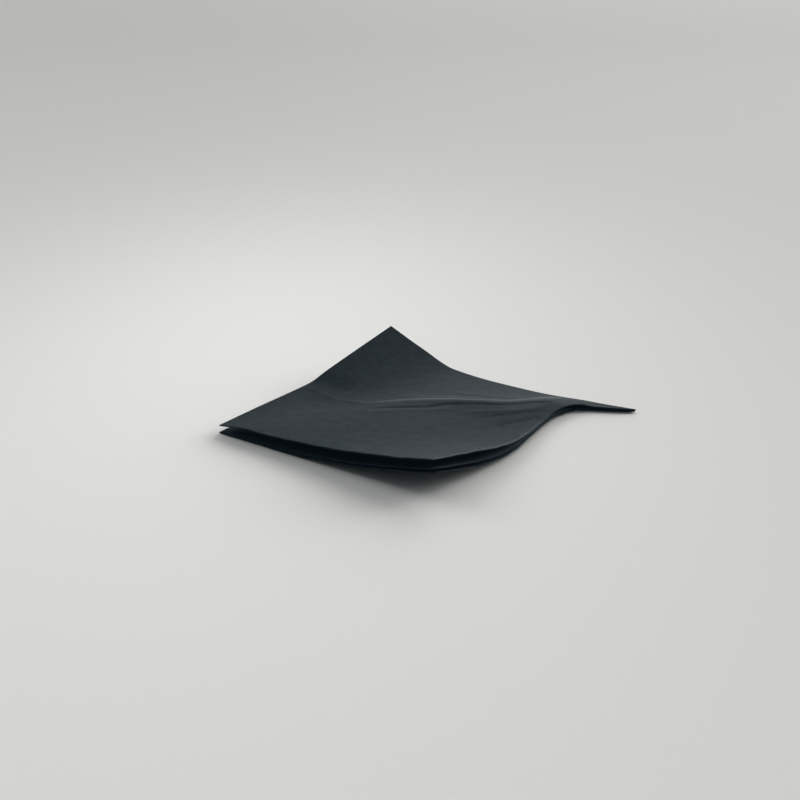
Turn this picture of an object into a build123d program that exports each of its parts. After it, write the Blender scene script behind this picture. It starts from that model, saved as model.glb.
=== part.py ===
# Paper napkin, folded in half twice and laid down loosely, in millimetres.
#
# One square sheet makes four leaves. The first fold joins the leaves in pairs,
# along the back left edge. The second fold nests one pair's bend in the other's,
# along the back right edge. The front left and front right edges are open.
#
# The two folds meet at the back corner, which stands up like a flap. A low crest
# runs from the middle of the back left edge towards the right tip, where the sheet
# is drawn in to a narrow tail that lies on the table. The open edges rise towards
# the front corner, and the lower pair parts from the upper one like a mouth.
#
# +X is to the right, +Y to the back and +Z up. The origin is on the table, under
# the middle of the napkin.

import os
from math import cos, radians, sin

from build123d import *

# Driving dimensions of the folded sheet
spread_across = 235.75
spread_deep = 212.5
left_tip_forward = 23.75
right_tip_back = 8.25
back_corner_left = 24.8
front_corner_left = 3.7
second_fold_bow = 7.3

leaf = 0.4
leaf_gap = 0.1
inner_fold_radius = 0.4

# Driving dimensions of its form as it lies
back_corner_height = 24.5
crest_height = 9.6
front_corner_height = 20.5
mouth_height = 7.0
lower_pair_parting_share = 0.4

# Stations along the second fold, from the back corner to the right tip
station_shares = (0.0, 0.14, 0.29, 0.45, 0.62, 0.75, 0.87, 1.0)
section_shares = (0.0, 0.07, 0.14, 0.21, 0.29, 0.37, 0.45, 0.54, 0.62, 0.69, 0.75, 0.81, 0.87, 0.93, 1.0)
bow_shares = (0.0, 0.2, 0.56, 0.87, 1.0, 0.77, 0.4, 0.0)

# Places of the guide lines, from the second fold to the open edge, at the two ends
guide_start_shares = (0.0, 0.42, 0.52, 0.62, 0.80, 0.90, 1.0)
guide_end_shares = (0.0, 0.10, 0.24, 0.40, 0.62, 0.80, 1.0)

# Heights of the guide lines, as shares of the corner or crest that they lead to
fold_edge_shares = (1.0, 0.57, 0.19, 0.12, 0.1, 0.09, 0.09, 0.09)
back_slope_shares = (1.21, 0.75, 0.54, 0.64, 0.73, 0.77, 0.42, 0.38)
crest_shares = (0.84, 0.51, 0.59, 0.84, 1.01, 0.82, 0.48, 0.44)
hollow_shares = (0.76, 0.46, 0.65, 0.91, 0.93, 0.78, 0.58, 0.54)
front_slope_shares = (0.67, 0.6, 0.76, 0.94, 0.97, 0.92, 0.86, 0.92)
lip_shares = (0.28, 0.32, 0.38, 0.45, 0.5, 0.54, 0.59, 0.69)
open_edge_shares = (0.25, 0.36, 0.39, 0.45, 0.57, 0.69, 0.82, 1.0)

# How far the two pairs part along the guide lines, as shares of the mouth
fold_edge_parting_shares = (0.0, 0.0, 0.0, 0.0, 0.0, 0.0, 0.0, 0.0)
back_slope_parting_shares = (0.09, 0.1, 0.11, 0.36, 0.53, 0.57, 0.11, 0.06)
crest_parting_shares = (0.2, 0.19, 0.27, 0.64, 0.83, 0.57, 0.07, 0.04)
hollow_parting_shares = (0.3, 0.27, 0.49, 0.8, 0.8, 0.56, 0.13, 0.07)
front_slope_parting_shares = (0.41, 0.46, 0.67, 0.87, 0.84, 0.77, 0.6, 0.71)
lip_parting_shares = (0.41, 0.59, 0.74, 0.89, 0.87, 0.83, 0.83, 0.97)
open_edge_parting_shares = (0.41, 0.7, 0.79, 0.89, 0.87, 0.83, 0.79, 0.77)

# Where the front right edge is drawn in, from beyond the tip to beyond the front corner: the
# stations that it reaches, and the shares of the way from the second fold at which it does
drawn_stations = (1.018, 1.0, 0.98, 0.93, 0.87, 0.83, 0.826, 0.824, 0.855, 0.90, 0.94, 0.965, 0.98, 1.0, 1.013)
drawn_shares = (-0.01, 0.0, 0.01, 0.035, 0.06, 0.08, 0.105, 0.175, 0.30, 0.44, 0.57, 0.72, 0.86, 1.0, 1.066)

# Angles of the round back of the first fold at which it is cut by a section
bend_angles = (0.0, 40.0, 75.0)

# Sizes that follow
pitch = leaf + leaf_gap
outer_fold_radius = inner_fold_radius + pitch
fold_stack = 2 * outer_fold_radius
pair_radius = (pitch + leaf) / 2
clearance = spread_across / 4

left_tip = Vector(-spread_across / 2, -left_tip_forward)
right_tip = Vector(spread_across / 2, right_tip_back)
back_corner = Vector(-back_corner_left, spread_deep / 2)
front_corner = Vector(-front_corner_left, -spread_deep / 2)

guide_heights = [
    [share * height for share in shares]
    for shares, height in (
        (fold_edge_shares, back_corner_height),
        (back_slope_shares, crest_height),
        (crest_shares, crest_height),
        (hollow_shares, crest_height),
        (front_slope_shares, crest_height),
        (lip_shares, front_corner_height),
        (open_edge_shares, front_corner_height),
    )
]
guide_partings = [
    [share * mouth_height for share in shares]
    for shares in (
        fold_edge_parting_shares,
        back_slope_parting_shares,
        crest_parting_shares,
        hollow_parting_shares,
        front_slope_parting_shares,
        lip_parting_shares,
        open_edge_parting_shares,
    )
]


def smooth(places, values, place):
    """Reads a smooth curve through the values that never swings beyond them."""
    steps = [b - a for a, b in zip(places, places[1:])]
    rises = [(b - a) / step for a, b, step in zip(values, values[1:], steps)]
    slopes = [rises[0]]
    for before, after in zip(rises, rises[1:]):
        slopes.append(2 * before * after / (before + after) if before * after > 0 else 0.0)
    slopes.append(rises[-1])
    span = max([index for index, start in enumerate(places[:-1]) if start <= place], default=0)
    step = steps[span]
    part = (place - places[span]) / step
    return (
        values[span] * (1 + 2 * part) * (1 - part) ** 2
        + slopes[span] * step * part * (1 - part) ** 2
        + values[span + 1] * part**2 * (3 - 2 * part)
        - slopes[span + 1] * step * part**2 * (1 - part)
    )


def guide_places(station):
    """Shares of the way from the second fold to the open edge where the guide lines cross a station."""
    return [start + station * (end - start) for start, end in zip(guide_start_shares, guide_end_shares)]


def guided(guides, station, share):
    """Reads a guided value at a station, a share of the way from the second fold to the open edge."""
    values = [smooth(station_shares, guide, station) for guide in guides]
    return smooth(guide_places(station), values, share)


def leaf_height(name, station, share):
    """Height of the middle of a leaf above the table."""
    parting = guided(guide_partings, station, share)
    top = guided(guide_heights, station, share) - leaf / 2
    bottom = top - fold_stack - parting
    heights = {
        "outer top": top,
        "inner top": top - pitch,
        "inner bottom": bottom + pitch + lower_pair_parting_share * station * parting,
        "outer bottom": bottom,
    }
    return heights[name]


def fold_point(station):
    """Point of the second fold at a station, seen from above."""
    bow = second_fold_bow * smooth(station_shares, bow_shares, station)
    return back_corner + (right_tip - back_corner) * station - Vector(0, bow)


def open_point(station):
    """Point of the open edge opposite the second fold at a station, seen from above."""
    return left_tip + (front_corner - left_tip) * station


def sheet_point(station, share):
    """Point of the sheet at a station, a share of the way from the second fold, seen from above."""
    return fold_point(station) + (open_point(station) - fold_point(station)) * share


def section_plane(station):
    """Upright plane across the napkin, with its x from the fold to the open edge."""
    run = open_point(station) - fold_point(station)
    return Plane(origin=fold_point(station), x_dir=run, z_dir=run.cross(Vector(0, 0, 1)))


def leaf_line(name, station, rise):
    """Points along a leaf from the fold to the open edge, a small rise above its middle."""
    width = (open_point(station) - fold_point(station)).length
    places = guide_places(station)
    middles = [(a + b) / 2 for a, b in zip(places, places[1:])]
    return [
        (share * width, leaf_height(name, station, share) + rise)
        for share in sorted(places + middles)
    ]


def bent_line(names, station, outset, fold_radius):
    """One side of a bent layer, from the upper open edge round the fold to the lower one."""
    upper_points = leaf_line(names[0], station, outset)
    lower_points = leaf_line(names[1], station, -outset)
    middle_height = (upper_points[0][1] + lower_points[0][1]) / 2
    upper_line = Spline(*reversed(upper_points))
    ThreePointArc(upper_points[0], (-fold_radius - outset, middle_height), lower_points[0])
    lower_line = Spline(*lower_points)
    return upper_line @ 0, lower_line @ 1


def layer_section(plane, station, outer_side, inner_side):
    """Closed outline of a bent layer between its outer and inner side."""
    with BuildSketch(plane) as section:
        with BuildLine():
            outer_start, outer_end = bent_line(outer_side[0], station, *outer_side[1:])
            inner_start, inner_end = bent_line(inner_side[0], station, *inner_side[1:])
            Line(outer_start, inner_start)
            Line(outer_end, inner_end)
        make_face()
    return section.sketch


def strip_sections(names, fold_radius):
    """Sections of two leaves and the bend that joins them, from the first fold to the open edge."""
    outer_side = (names, leaf / 2, fold_radius)
    inner_side = (names, -leaf / 2, fold_radius)
    return [
        layer_section(section_plane(station), station, outer_side, inner_side)
        for station in section_shares
    ]


def first_fold_sections():
    """Sections of the round back of the first fold, from the leaves outwards."""
    sections = []
    for angle in bend_angles:
        reach = pair_radius * sin(radians(angle))
        outset = leaf / 2 - pair_radius * (1 - cos(radians(angle)))
        outer_side = (outer_leaves, outset, outer_fold_radius)
        inner_side = (inner_leaves, -outset, inner_fold_radius)
        sections.append(layer_section(section_plane(0.0).offset(reach), 0.0, outer_side, inner_side))
    return sections


outer_leaves = ("outer top", "outer bottom")
inner_leaves = ("inner top", "inner bottom")

with BuildPart() as napkin:
    # Outer leaves, joined by the outside of the second fold
    loft(strip_sections(outer_leaves, outer_fold_radius))
    # Inner leaves, joined by the inside of the second fold
    loft(strip_sections(inner_leaves, inner_fold_radius))
    # Back of the first fold, which joins each outer leaf to an inner one
    loft(first_fold_sections())
    # Front right edge, drawn in from the front corner to the tail
    with BuildSketch():
        with BuildLine():
            drawn_in = Spline(*[sheet_point(*place) for place in zip(drawn_stations, drawn_shares)])
            Polyline(
                drawn_in @ 1,
                front_corner - Vector(0, clearance),
                Vector(spread_across / 2 + clearance, -spread_deep / 2 - clearance),
                right_tip + Vector(clearance, 0),
                drawn_in @ 0,
            )
        make_face()
    extrude(amount=front_corner_height + back_corner_height, both=True, mode=Mode.SUBTRACT)

napkin.part.label = "napkin"
os.makedirs("parts", exist_ok=True)
export_step(napkin.part, "parts/napkin.step")
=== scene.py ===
"""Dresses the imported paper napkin: its folded sheet with its creases, the paper, the table and the light."""

import math
from collections import namedtuple

import bpy
import numpy as np
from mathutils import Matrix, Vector


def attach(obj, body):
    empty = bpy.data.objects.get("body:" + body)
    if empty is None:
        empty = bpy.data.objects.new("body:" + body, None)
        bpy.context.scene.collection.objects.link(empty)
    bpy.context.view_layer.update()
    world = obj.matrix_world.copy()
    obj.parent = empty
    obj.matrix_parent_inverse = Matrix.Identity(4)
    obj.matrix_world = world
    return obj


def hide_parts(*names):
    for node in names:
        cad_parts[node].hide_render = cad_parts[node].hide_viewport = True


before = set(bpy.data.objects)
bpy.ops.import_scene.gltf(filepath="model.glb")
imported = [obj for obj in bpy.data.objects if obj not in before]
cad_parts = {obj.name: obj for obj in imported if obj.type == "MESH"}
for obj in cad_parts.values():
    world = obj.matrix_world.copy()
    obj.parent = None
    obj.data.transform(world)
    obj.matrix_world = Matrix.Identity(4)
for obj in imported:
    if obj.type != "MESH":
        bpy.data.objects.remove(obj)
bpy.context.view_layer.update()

MM = 0.001

# Folded sheet, at the sizes of the solid's source
SPREAD_ACROSS = 235.75 * MM
SPREAD_DEEP = 212.5 * MM
LEFT_TIP_FORWARD = 23.75 * MM
RIGHT_TIP_BACK = 8.25 * MM
BACK_CORNER_LEFT = 24.8 * MM
FRONT_CORNER_LEFT = 3.7 * MM
SECOND_FOLD_BOW = 7.3 * MM
FLAT_SIDE = 330 * MM

# Leaves, a little thinner and closer than in the solid
LEAF = 0.32 * MM
PITCH = 0.45 * MM
OUTER_FOLD_RADIUS = 0.85 * MM
LOWER_PAIR_PARTING_SHARE = 0.3
INNER_LEAF_INSET_SHARE = 0.004

# Stations from the back corner to the right tip, and where the guides cross the first and the last
STATION_SHARES = (0.0, 0.14, 0.29, 0.45, 0.62, 0.75, 0.87, 1.0)
BOW_SHARES = (0.0, 0.2, 0.56, 0.87, 1.0, 0.77, 0.4, 0.0)
GUIDE_START_SHARES = (0.0, 0.42, 0.52, 0.62, 0.80, 0.90, 1.0)
GUIDE_END_SHARES = (0.0, 0.10, 0.24, 0.40, 0.62, 0.80, 1.0)

# Heights of the sheet's top and partings of its two pairs of leaves, in millimetres:
# a line for each guide, from the second fold to the open edge, with a value at each station
HEIGHTS = (
    (24.5, 14.0, 4.7, 2.9, 2.4, 2.2, 2.2, 2.2),
    (11.6, 7.2, 5.2, 6.1, 7.0, 7.4, 4.0, 3.6),
    (8.1, 4.9, 5.7, 8.1, 9.7, 7.9, 4.6, 4.2),
    (7.3, 4.4, 6.2, 8.7, 8.9, 7.5, 5.6, 5.2),
    (6.4, 5.8, 7.3, 9.0, 9.3, 8.8, 8.3, 8.8),
    (5.7, 6.6, 7.7, 9.2, 10.2, 11.0, 12.2, 14.2),
    (5.0, 7.3, 7.9, 9.3, 11.6, 14.1, 16.8, 20.5),
)
PARTINGS = (
    (0.0, 0.0, 0.0, 0.0, 0.0, 0.0, 0.0, 0.0),
    (0.6, 0.7, 0.8, 2.5, 3.7, 4.0, 0.8, 0.4),
    (1.4, 1.3, 1.9, 4.5, 5.8, 4.0, 0.5, 0.3),
    (2.1, 1.9, 3.4, 5.6, 5.6, 3.9, 0.9, 0.5),
    (2.9, 3.2, 4.7, 6.1, 5.9, 5.4, 4.2, 5.0),
    (2.9, 4.1, 5.2, 6.2, 6.1, 5.8, 5.8, 6.8),
    (2.7, 4.9, 5.5, 6.2, 6.1, 5.8, 5.5, 5.4),
)

# Front right edge: the last station of the sheet at shares of the way from the second fold
EDGE_SHARES = (0.0, 0.01, 0.033, 0.059, 0.079, 0.105, 0.174, 0.3, 0.44, 0.572, 0.717, 0.861, 1.0)
EDGE_STATION_SHARES = (1.0, 0.982, 0.936, 0.877, 0.833, 0.825, 0.826, 0.855, 0.902, 0.942, 0.965, 0.979, 1.0)

# Creases of the top, in millimetres: places on the plan, the height of the crest, its breadth behind
# the line and before it, and the painted highlight (above 0) or painted shade (below 0) along it
Crease = namedtuple("Crease", "places height behind before lighter")
CREST_RIDGE = Crease(
    (
        (-50, 9), (-29, 8), (-2, 6), (11, 4), (22, 1.5), (33, 1.7),
        (44, 4.3), (56, 9.2), (66, 15.5), (78, 21.5), (90, 21), (104, 15),
    ),
    height=1.3, behind=4.0, before=1.9, lighter=2.2,
)
GROOVE_BEFORE_CREST = Crease(
    ((-42, -1), (-29, -5), (-8, -5), (11, -1.5), (33, -2.5), (44, 0), (56, 5), (67, 8), (76, 12)),
    height=-0.6, behind=1.5, before=1.5, lighter=-0.35,
)
MIDDLE_RIDGE = Crease(
    ((-40, -12), (-30, -12), (-13, -11), (4, -10), (20, -10)),
    height=0.35, behind=2.5, before=1.6, lighter=0.1,
)
UPPER_TAIL_GROOVE = Crease(
    ((16, -25), (34, -17), (42, -14), (54, -8), (66, -2)),
    height=-0.45, behind=2.0, before=2.0, lighter=-0.1,
)
LOWER_TAIL_GROOVE = Crease(
    ((22, -38), (42, -24), (48, -20), (60, -11)),
    height=-0.4, behind=1.8, before=1.8, lighter=-0.1,
)
TAIL_RIDGE = Crease(
    ((14, -15), (30, -12), (46, -8), (64, 0)),
    height=0.35, behind=2.2, before=1.5, lighter=0.2,
)
FLAP_RIDGE = Crease(
    ((-76, 34), (-66, 27), (-48, 13), (-36, 8)),
    height=0.4, behind=3.0, before=2.5, lighter=0.05,
)
BACK_RIDGE = Crease(
    ((10, 30), (28, 22), (46, 18), (64, 18)),
    height=0.35, behind=4.0, before=3.0, lighter=0.1,
)
LEFT_RIDGE = Crease(
    ((-95, -20), (-70, -8), (-45, -6), (-25, -9)),
    height=0.15, behind=6.0, before=5.0, lighter=0.0,
)
CREASES = (
    CREST_RIDGE,
    GROOVE_BEFORE_CREST,
    MIDDLE_RIDGE,
    UPPER_TAIL_GROOVE,
    LOWER_TAIL_GROOVE,
    TAIL_RIDGE,
    FLAP_RIDGE,
    BACK_RIDGE,
    LEFT_RIDGE,
)
CREASE_STEPS = 80
CREASE_FADE_SHARE = 0.2
# Breadth of the painted highlight and shade along the creases
PAINTED_LIGHT_BREADTH = 2.0 * MM

# Painted highlight on the rim of the top leaf along the front right edge, and the shares at which it starts
# and is full
EDGE_PAINTED_HIGHLIGHT = 1.1
EDGE_PAINTED_HIGHLIGHT_ROWS = 4
EDGE_PAINTED_HIGHLIGHT_SHARES = (0.3, 0.6)

# Ripples along the open edges. Each wave has a pace, a part in the phase and a height
RIPPLE_HEIGHT = 0.25 * MM
RIPPLE_LENGTH = 21 * MM
RIPPLE_WAVES = ((1, 1, 1), (1.73, 2.1, 0.6), (0.41, -1, 1))
RIPPLE_REACH_SHARE = 0.12
RIPPLE_FREE_PARTING = 4 * MM
CALM_TIP_SHARE = 0.15
CALM_TAIL_SHARE = 0.3
UPPER_PHASE = 0.4
LOWER_PHASE = 2.9

# A small loop that the top leaves make at the edge of the tail, and the lower leaves' shorter tips
LOOP_PLACE = 88 * MM
LOOP_BREADTH = 4 * MM
LOOP_HEIGHT = 0.9 * MM
LOOP_REACH_SHARE = 0.06
LOOP_TAIL_SHARES = (0.048, 0.128)
TIP_STEP_SHARE = 0.012
TIP_STEP_REACH_SHARE = 0.02

LEFT_TIP = np.array((-SPREAD_ACROSS / 2, -LEFT_TIP_FORWARD))
RIGHT_TIP = np.array((SPREAD_ACROSS / 2, RIGHT_TIP_BACK))
BACK_CORNER = np.array((-BACK_CORNER_LEFT, SPREAD_DEEP / 2))
FRONT_CORNER = np.array((-FRONT_CORNER_LEFT, -SPREAD_DEEP / 2))

# Mesh of the sheet. Its rows lie closer together towards the second fold
OUTER_STATIONS = 170
INNER_STATIONS = 24
UPPER_ROWS = 190
LOWER_ROWS = 30
ROW_CROWDING = 1.25
FIRST_BEND_STEPS = 4
SECOND_BEND_STEPS = 6

# Paper
PAPER_COLOUR = (0.0208, 0.0286, 0.0330)
PAPER_ROUGHNESS = 0.85
PAPER_SPECULAR = 0.05
# Colour added for the painted highlight, and taken off for the painted shade
PAINTED_LIGHT_COLOUR = (0.040, 0.043, 0.044)
# Painted glow: a faint bluish emission of the paper that lifts its blacks
PAINTED_GLOW = (0.001, 0.0025, 0.004)
EMBOSS_SCALE = 80
EMBOSS_DISTORTION = 2.5
EMBOSS_DETAIL = 2
EMBOSS_DETAIL_SCALE = 0.6
EMBOSS_WEIGHT = 0.14
FIBRE_SCALE = 320
FIBRE_DETAIL = 4
RELIEF_DEPTH = 0.12 * MM
DYE_SCALE = 150
DYE_DETAIL = 5
DYE_RANGE = (0.55, 1.45)

# Camera, set at the photograph's angle
CAMERA_TARGET = Vector((-18.8 * MM, 30.25 * MM, 0))
CAMERA_DISTANCE = 600 * MM
CAMERA_ELEVATION = math.radians(20)
CAMERA_LENS = 45
CAMERA_CLIP_START = 10 * MM

# Lights: azimuth from straight behind to the right, elevation and breadth in degrees, and strength
WINDOWS = {
    "left_window": (-50, 31, 36, 1.2),
    "back_window": (38, 25, 50, 2.4),
    "low_window": (12, 14, 36, 1.3),
    "right_window": (66, 13, 36, 1.8),
}
FILL_COLOUR = (0.85, 0.96, 1)
FILL_STRENGTH = 0.17

# Table, in metres: its colour in a painted pool of light near the napkin and its painted falloff far away, the
# pool's middle and size, and its rise behind
TABLE_PAINTED_POOL_COLOUR = (0.85, 0.834, 0.805)
TABLE_PAINTED_FALLOFF_COLOUR = (0.545, 0.533, 0.513)
TABLE_ROUGHNESS = 0.9
TABLE_SPECULAR = 0.03
PAINTED_POOL_MIDDLE = (-0.12, 0.15)
PAINTED_POOL_SIZE = (0.28, 0.55)
TABLE_FRONT = -3.0
TABLE_BACK = 80.0
TABLE_HALF_WIDTH = 40.0
RISE_START = 1.5
RISE_END = 8.0
RISE_SLOPE = math.tan(math.radians(2.6))
RISE_STEPS = 40


def smooth(places, values, place):
    """Reads a smooth curve through the values that never swings beyond them, along the first axis."""
    steps = np.diff(places, axis=0)
    rises = np.diff(values, axis=0) / steps
    before, after = rises[:-1], rises[1:]
    same_way = before * after > 0
    together = np.where(same_way, before + after, 1)
    inner = np.where(same_way, 2 * before * after / together, 0)
    slopes = np.concatenate((rises[:1], inner, rises[-1:]))
    out = np.zeros(np.broadcast_shapes(places.shape[1:], values.shape[1:], np.shape(place)))
    for span in range(len(steps)):
        step = steps[span]
        part = (place - places[span]) / step
        piece = (
            values[span] * (1 + 2 * part) * (1 - part) ** 2
            + slopes[span] * step * part * (1 - part) ** 2
            + values[span + 1] * part**2 * (3 - 2 * part)
            - slopes[span + 1] * step * part**2 * (1 - part)
        )
        out = np.where((part >= 0) | (span == 0), piece, out)
    return out


def curve(places, values, place):
    """Reads a smooth curve given by two lists of numbers."""
    dims = (len(places),) + (1,) * np.ndim(place)
    return smooth(np.reshape(places, dims), np.reshape(values, dims), place)


def guided(table, station, share):
    """Reads a table of values in millimetres at stations and shares of the way from the second fold."""
    values = np.stack([curve(STATION_SHARES, row, station) for row in table]) * MM
    places = np.stack([a + station * (b - a) for a, b in zip(GUIDE_START_SHARES, GUIDE_END_SHARES)])
    return smooth(places, values, share)


def plan(station, share):
    """Points of the folded sheet seen from above."""
    bow = SECOND_FOLD_BOW * curve(STATION_SHARES, BOW_SHARES, station)
    fold = BACK_CORNER + station[..., None] * (RIGHT_TIP - BACK_CORNER)
    fold[..., 1] -= bow
    edge = LEFT_TIP + station[..., None] * (FRONT_CORNER - LEFT_TIP)
    return fold + share[..., None] * (edge - fold)


def crease_line(crease):
    """Shares along a crease, with its points on the plan and its direction and speed there."""
    points = np.array(crease.places) * MM
    marks = np.linspace(0, 1, len(points))
    along = np.linspace(0, 1, CREASE_STEPS)
    line = np.stack([curve(marks, points[:, axis], along) for axis in (0, 1)], axis=-1)
    ways = np.gradient(line, along, axis=0)
    speeds = np.linalg.norm(ways, axis=1)
    return along, line, ways / speeds[:, None], speeds


def crease_marks(places):
    """Heights that the creases add at places on the plan, and the painted highlight and shade along them."""
    relief = np.zeros(places.shape[:-1])
    painted_light = np.zeros(places.shape[:-1])
    for crease in CREASES:
        along, line, ways, speeds = crease_line(crease)
        gaps = places[..., None, :] - line
        nearest = np.argmin((gaps**2).sum(axis=-1), axis=-1)
        gap = np.take_along_axis(gaps, nearest[..., None, None], axis=-2)[..., 0, :]
        way = ways[nearest]
        side = way[..., 0] * gap[..., 1] - way[..., 1] * gap[..., 0]
        reached = along[nearest] + (way * gap).sum(axis=-1) / speeds[nearest]
        part = np.clip(np.minimum(reached, 1 - reached) / CREASE_FADE_SHARE, 0, 1)
        fade = part**2 * (3 - 2 * part)
        breadth = np.where(side > 0, crease.behind, crease.before) * MM
        relief += crease.height * MM * fade * np.exp(-np.abs(side) / breadth)
        # Painted highlight along the crests and painted shade in the grooves
        painted_light += crease.lighter * fade * np.exp(-((side / PAINTED_LIGHT_BREADTH) ** 2))
    return relief, painted_light


def ripple(length, phase):
    """Uneven wave along an edge, between -1 and 1."""
    turn = 2 * math.pi * length / RIPPLE_LENGTH
    waves = sum(height * np.sin(pace * turn + part * phase) for pace, part, height in RIPPLE_WAVES)
    return waves / sum(height for _, _, height in RIPPLE_WAVES)


def near_end(share, reach):
    """Rises from 0 to 1 over the last reach of a share."""
    return np.clip((share - 1) / reach + 1, 0, 1) ** 2


def edge_ripple(run, share, phase):
    """Height that the ripples add near the two open edges."""
    side = FLAT_SIDE / 2
    near_front = near_end(share, RIPPLE_REACH_SHARE)
    near_right = near_end(run, RIPPLE_REACH_SHARE) * np.clip(share / CALM_TAIL_SHARE, 0, 1)
    front = near_front * ripple(run * side, phase) * np.clip(run / CALM_TIP_SHARE, 0, 1)
    right = near_right * (1 - near_front) * ripple(share * side, phase + 1)
    return RIPPLE_HEIGHT * (front + right)


def tail_loop(run, share, places):
    """Height that the loop adds at the edge of the tail."""
    full, none = LOOP_TAIL_SHARES
    in_tail = np.clip((none - share) / (none - full), 0, 1)
    crest = np.exp(-(((places[..., 0] - LOOP_PLACE) / LOOP_BREADTH) ** 2))
    return LOOP_HEIGHT * near_end(run, LOOP_REACH_SHARE) * in_tail * crest


def leaf_points(run, share, layer, upper):
    """Points of one leaf, run being a share of the way from the first fold to the front right edge.

    Layer is 1 in the outer leaf and 0 in the inner one, and between in the first fold.
    """
    inset = 1 - (1 - layer) * INNER_LEAF_INSET_SHARE
    if not upper:
        run = run * (1 - TIP_STEP_SHARE * np.exp(-share / TIP_STEP_REACH_SHARE))
    last = curve(EDGE_SHARES, EDGE_STATION_SHARES, share)
    station, share = np.broadcast_arrays(inset * run * last, inset * share)
    places = plan(station, share)
    top = guided(HEIGHTS, station, share) - LEAF / 2
    parting = guided(PARTINGS, station, share)
    inward = (1 - layer) * PITCH
    if upper:
        height = top - inward + crease_marks(places)[0]
        height += edge_ripple(run, share, UPPER_PHASE) + tail_loop(run, share, places)
    else:
        opening = LOWER_PAIR_PARTING_SHARE * station * parting
        height = top - 2 * OUTER_FOLD_RADIUS - parting + inward + (1 - layer) * opening
        height += edge_ripple(run, share, LOWER_PHASE) * np.clip(parting / RIPPLE_FREE_PARTING, 0, 1)
    return np.concatenate((places, height[..., None]), axis=-1)


def second_bend(upper, lower, station):
    """Points of the second fold's bend between an upper and a lower leaf."""
    fold = BACK_CORNER + station[:, None] * (RIGHT_TIP - BACK_CORNER)
    edge = LEFT_TIP + station[:, None] * (FRONT_CORNER - LEFT_TIP)
    run = (edge - fold) / np.linalg.norm(edge - fold, axis=1)[:, None]
    middle = (upper + lower) / 2
    radius = (upper[:, 2:] - lower[:, 2:]) / 2
    points = []
    for step in range(1, SECOND_BEND_STEPS):
        turn = math.pi * step / SECOND_BEND_STEPS
        point = middle.copy()
        point[:, :2] -= run * radius * math.sin(turn)
        point[:, 2:] += radius * math.cos(turn)
        points.append(point)
    return np.stack(points, axis=1)


def row_shares(rows):
    """Shares of the way from the second fold to the open edge at which a leaf has its rows."""
    return np.linspace(0, 1, rows) ** ROW_CROWDING


def hairpin(run, layer, reach=0):
    """Rows across the sheet, from the upper open edge round the second fold to the lower one."""
    upper = leaf_points(run[:, None], row_shares(UPPER_ROWS)[None, ::-1], layer, True)
    lower = leaf_points(run[:, None], row_shares(LOWER_ROWS)[None], layer, False)
    bend = second_bend(upper[:, -1], lower[:, 0], run)
    rows = np.concatenate((upper, bend, lower), axis=1)
    across = LEFT_TIP - BACK_CORNER
    outward = np.array((across[1], -across[0])) / np.linalg.norm(across)
    rows[..., :2] += outward * reach
    return rows


def sheet_grid():
    """The whole sheet as one grid of points: outer leaves, the first fold, inner leaves."""
    outer = hairpin(np.linspace(1, 0, OUTER_STATIONS), 1)
    bends = []
    for step in range(1, FIRST_BEND_STEPS):
        turn = math.pi * step / FIRST_BEND_STEPS
        bends.append(hairpin(np.zeros(1), (1 + math.cos(turn)) / 2, PITCH / 2 * math.sin(turn)))
    inner = hairpin(np.linspace(0, 1, INNER_STATIONS), 0)
    return np.concatenate([outer, *bends, inner], axis=0)


def painted_light_marks(grid):
    """Painted highlight and shade at the grid's points: along the creases and on the rim."""
    painted_light = np.zeros(grid.shape[:2])
    painted_light[:OUTER_STATIONS, :UPPER_ROWS] = crease_marks(grid[:OUTER_STATIONS, :UPPER_ROWS, :2])[1]
    start, full = EDGE_PAINTED_HIGHLIGHT_SHARES
    along = np.clip((np.linspace(1, 0, UPPER_ROWS) - start) / (full - start), 0, 1)
    # Painted highlight on the rim of the top leaf along the front right edge
    painted_light[:EDGE_PAINTED_HIGHLIGHT_ROWS, :UPPER_ROWS] += EDGE_PAINTED_HIGHLIGHT * along * np.linspace(1, 0, EDGE_PAINTED_HIGHLIGHT_ROWS)[:, None]
    return painted_light


def flat_places():
    """Places of the grid's points on the sheet laid flat, in metres from one of its corners."""
    outer = np.linspace(0, 1, OUTER_STATIONS) / 2
    first_bend = np.full(FIRST_BEND_STEPS - 1, 1) / 2
    inner = np.linspace(1, 2, INNER_STATIONS) / 2
    upper = (1 - row_shares(UPPER_ROWS)[::-1]) / 2
    second_bend_middle = np.full(SECOND_BEND_STEPS - 1, 1) / 2
    lower = (1 + row_shares(LOWER_ROWS)) / 2
    rows = np.concatenate((outer, first_bend, inner))
    columns = np.concatenate((upper, second_bend_middle, lower))
    return FLAT_SIDE * np.stack(np.meshgrid(rows, columns, indexing="ij"), axis=-1)


def grid_mesh(name, grid):
    """Mesh of quads over a grid of points."""
    rows, columns = grid.shape[:2]
    index = np.arange(rows * columns).reshape(rows, columns)
    corners = (index[:-1, :-1], index[1:, :-1], index[1:, 1:], index[:-1, 1:])
    faces = np.stack(corners, axis=-1).reshape(-1, 4)
    mesh = bpy.data.meshes.new(name)
    mesh.from_pydata(grid.reshape(-1, 3).tolist(), [], faces.tolist())
    mesh.polygons.foreach_set("use_smooth", [True] * len(mesh.polygons))
    mesh.update()
    return mesh


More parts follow.
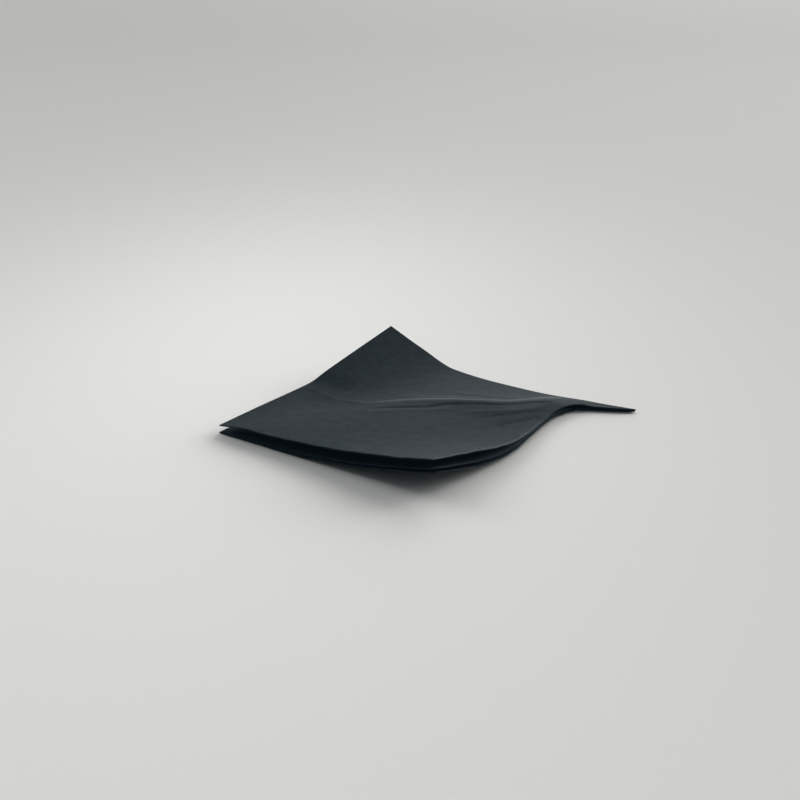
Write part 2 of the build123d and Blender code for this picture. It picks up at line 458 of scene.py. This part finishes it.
def make_napkin(paper):
    """The folded sheet as one closed skin of the leaf's thickness."""
    grid = sheet_grid()
    mesh = grid_mesh("napkin_sheet", grid)
    corners = [corner.vertex_index for corner in mesh.loops]
    flat = mesh.uv_layers.new(name="flat_sheet")
    flat.data.foreach_set("uv", flat_places().reshape(-1, 2)[corners].reshape(-1))
    # Painted highlight and shade, kept on the mesh for the paper's colour
    painted_light = mesh.attributes.new("painted_light", "FLOAT", "POINT")
    painted_light.data.foreach_set("value", painted_light_marks(grid).reshape(-1))
    sheet = bpy.data.objects.new("napkin_sheet", mesh)
    bpy.context.collection.objects.link(sheet)
    skin = sheet.modifiers.new("thickness", "SOLIDIFY")
    skin.thickness = LEAF
    skin.offset = 0
    graph = bpy.context.evaluated_depsgraph_get()
    mesh = bpy.data.meshes.new_from_object(sheet.evaluated_get(graph))
    sheet.modifiers.clear()
    sheet.data = mesh
    mesh.materials.append(paper)
    return sheet


def plain_material(name, colour, roughness, specular):
    """Material with one colour. Returns it with its node tree and shader."""
    material = bpy.data.materials.new(name)
    material.use_nodes = True
    shader = material.node_tree.nodes["Principled BSDF"]
    shader.inputs["Base Color"].default_value = (*colour, 1)
    shader.inputs["Roughness"].default_value = roughness
    shader.inputs["Specular IOR Level"].default_value = specular
    return material, material.node_tree, shader


def math_node(tree, operation):
    """Node that works out one sum."""
    node = tree.nodes.new("ShaderNodeMath")
    node.operation = operation
    return node


def vector_node(tree, operation):
    """Node that works out one sum of vectors."""
    node = tree.nodes.new("ShaderNodeVectorMath")
    node.operation = operation
    return node


def noise(tree, places, scale, detail):
    """Uneven values over the sheet laid flat."""
    node = tree.nodes.new("ShaderNodeTexNoise")
    node.inputs["Scale"].default_value = scale
    node.inputs["Detail"].default_value = detail
    tree.links.new(places, node.inputs["Vector"])
    return node.outputs["Fac"]


def emboss_lines(tree, places, direction):
    """Soft emboss lines across the sheet, uneven like pressed paper."""
    lines = tree.nodes.new("ShaderNodeTexWave")
    lines.bands_direction = direction
    lines.inputs["Scale"].default_value = EMBOSS_SCALE
    lines.inputs["Distortion"].default_value = EMBOSS_DISTORTION
    lines.inputs["Detail"].default_value = EMBOSS_DETAIL
    lines.inputs["Detail Scale"].default_value = EMBOSS_DETAIL_SCALE
    tree.links.new(places, lines.inputs["Vector"])
    return lines.outputs["Fac"]


def add_paper_relief(tree, shader, places):
    """Bump of the paper: its emboss and its fibres."""
    emboss = math_node(tree, "ADD")
    tree.links.new(emboss_lines(tree, places, "X"), emboss.inputs[0])
    tree.links.new(emboss_lines(tree, places, "Y"), emboss.inputs[1])
    relief = math_node(tree, "MULTIPLY_ADD")
    relief.inputs[1].default_value = EMBOSS_WEIGHT
    tree.links.new(emboss.outputs["Value"], relief.inputs[0])
    tree.links.new(noise(tree, places, FIBRE_SCALE, FIBRE_DETAIL), relief.inputs[2])
    bump = tree.nodes.new("ShaderNodeBump")
    bump.inputs["Distance"].default_value = RELIEF_DEPTH
    tree.links.new(relief.outputs["Value"], bump.inputs["Height"])
    tree.links.new(bump.outputs["Normal"], shader.inputs["Normal"])


def add_paper_colour(tree, shader, places):
    """Colour of the paper: its uneven dye, with painted highlight and shade along the creases and the rim."""
    spread = tree.nodes.new("ShaderNodeMapRange")
    spread.inputs["To Min"].default_value = DYE_RANGE[0]
    spread.inputs["To Max"].default_value = DYE_RANGE[1]
    tree.links.new(noise(tree, places, DYE_SCALE, DYE_DETAIL), spread.inputs["Value"])
    tint = vector_node(tree, "SCALE")
    tint.inputs[0].default_value = PAPER_COLOUR
    tree.links.new(spread.outputs["Result"], tint.inputs["Scale"])
    # Painted highlight and shade added to the dye's colour
    painted_light = tree.nodes.new("ShaderNodeAttribute")
    painted_light.attribute_name = "painted_light"
    with_painted_light = vector_node(tree, "MULTIPLY_ADD")
    with_painted_light.inputs[1].default_value = PAINTED_LIGHT_COLOUR
    tree.links.new(painted_light.outputs["Fac"], with_painted_light.inputs[0])
    tree.links.new(tint.outputs["Vector"], with_painted_light.inputs[2])
    tree.links.new(with_painted_light.outputs["Vector"], shader.inputs["Base Color"])


def paper_material():
    """Black tissue paper with a fine emboss, slightly uneven dye, painted highlight and shade, and a faint
    painted glow.
    """
    material, tree, shader = plain_material("napkin_paper", PAPER_COLOUR, PAPER_ROUGHNESS, PAPER_SPECULAR)
    places = tree.nodes.new("ShaderNodeTexCoord").outputs["UV"]
    add_paper_relief(tree, shader, places)
    add_paper_colour(tree, shader, places)
    # Painted glow of the paper, though it is no lamp
    shader.inputs["Emission Color"].default_value = (*PAINTED_GLOW, 1)
    shader.inputs["Emission Strength"].default_value = 1
    return material


def table_material():
    """Pale plain surface with a painted pool of light around the napkin, darker away from it."""
    material, tree, shader = plain_material("table", TABLE_PAINTED_POOL_COLOUR, TABLE_ROUGHNESS, TABLE_SPECULAR)
    place = tree.nodes.new("ShaderNodeTexCoord")
    pool = tree.nodes.new("ShaderNodeMapping")
    pool.inputs["Location"].default_value = (*(-at / size for at, size in zip(PAINTED_POOL_MIDDLE, PAINTED_POOL_SIZE)), 0)
    pool.inputs["Scale"].default_value = (*(1 / size for size in PAINTED_POOL_SIZE), 0)
    square = vector_node(tree, "DOT_PRODUCT")
    more = math_node(tree, "ADD")
    more.inputs[1].default_value = 1
    away = math_node(tree, "DIVIDE")
    mix = tree.nodes.new("ShaderNodeMix")
    mix.data_type = "RGBA"
    mix.inputs["A"].default_value = (*TABLE_PAINTED_POOL_COLOUR, 1)
    mix.inputs["B"].default_value = (*TABLE_PAINTED_FALLOFF_COLOUR, 1)
    # The share of the painted falloff colour is the square of the distance, divided by one more than itself
    tree.links.new(place.outputs["Object"], pool.inputs["Vector"])
    tree.links.new(pool.outputs["Vector"], square.inputs[0])
    tree.links.new(pool.outputs["Vector"], square.inputs[1])
    tree.links.new(square.outputs["Value"], more.inputs[0])
    tree.links.new(square.outputs["Value"], away.inputs[0])
    tree.links.new(more.outputs["Value"], away.inputs[1])
    tree.links.new(away.outputs["Value"], mix.inputs["Factor"])
    tree.links.new(mix.outputs["Result"], shader.inputs["Base Color"])
    return material


def make_table():
    """Table that is flat under the napkin and rises gently far behind, as its own backdrop."""
    lengths = np.concatenate(([TABLE_FRONT], np.linspace(RISE_START, RISE_END, RISE_STEPS), [TABLE_BACK]))
    climb = np.clip(lengths - RISE_START, 0, RISE_END - RISE_START)
    beyond = np.clip(lengths - RISE_END, 0, None)
    heights = RISE_SLOPE * (climb**2 / (2 * (RISE_END - RISE_START)) + beyond)
    sides = (-TABLE_HALF_WIDTH, TABLE_HALF_WIDTH)
    grid = np.array([[(x, y, z) for y, z in zip(lengths, heights)] for x in sides])
    table = bpy.data.objects.new("table", grid_mesh("table", grid))
    bpy.context.collection.objects.link(table)
    table.data.materials.append(table_material())
    return table


def aim(thing, target):
    """Turns a lamp or a camera to look at a point."""
    way = Vector(target) - thing.location
    thing.rotation_euler = way.to_track_quat("-Z", "Y").to_euler()


def make_window(name, azimuth, elevation, breadth, strength):
    """Broad light from far away."""
    lamp = bpy.data.lights.new(name, "SUN")
    lamp.energy = strength
    lamp.angle = math.radians(breadth)
    window = bpy.data.objects.new(name, lamp)
    side, rise = math.radians(azimuth), math.radians(elevation)
    window.location = (math.cos(rise) * math.sin(side), math.cos(rise) * math.cos(side), math.sin(rise))
    bpy.context.collection.objects.link(window)
    aim(window, (0, 0, 0))


def make_light():
    """Four broad lights from behind and a weak even fill."""
    for name, setting in WINDOWS.items():
        make_window(name, *setting)
    world = bpy.data.worlds.new("room")
    world.use_nodes = True
    fill = world.node_tree.nodes["Background"]
    fill.inputs["Color"].default_value = (*FILL_COLOUR, 1)
    fill.inputs["Strength"].default_value = FILL_STRENGTH
    bpy.context.scene.world = world


def make_camera():
    """Camera before the napkin and above it."""
    data = bpy.data.cameras.new("camera")
    data.lens = CAMERA_LENS
    data.clip_start = CAMERA_CLIP_START
    camera = bpy.data.objects.new("camera", data)
    back = Vector((0, -math.cos(CAMERA_ELEVATION), math.sin(CAMERA_ELEVATION)))
    camera.location = CAMERA_TARGET + back * CAMERA_DISTANCE
    bpy.context.collection.objects.link(camera)
    aim(camera, CAMERA_TARGET)
    bpy.context.scene.camera = camera


bpy.context.scene.view_settings.view_transform = "Standard"

napkin = make_napkin(paper_material())
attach(napkin, "root")
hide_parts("napkin")
table = make_table()
make_light()
make_camera()
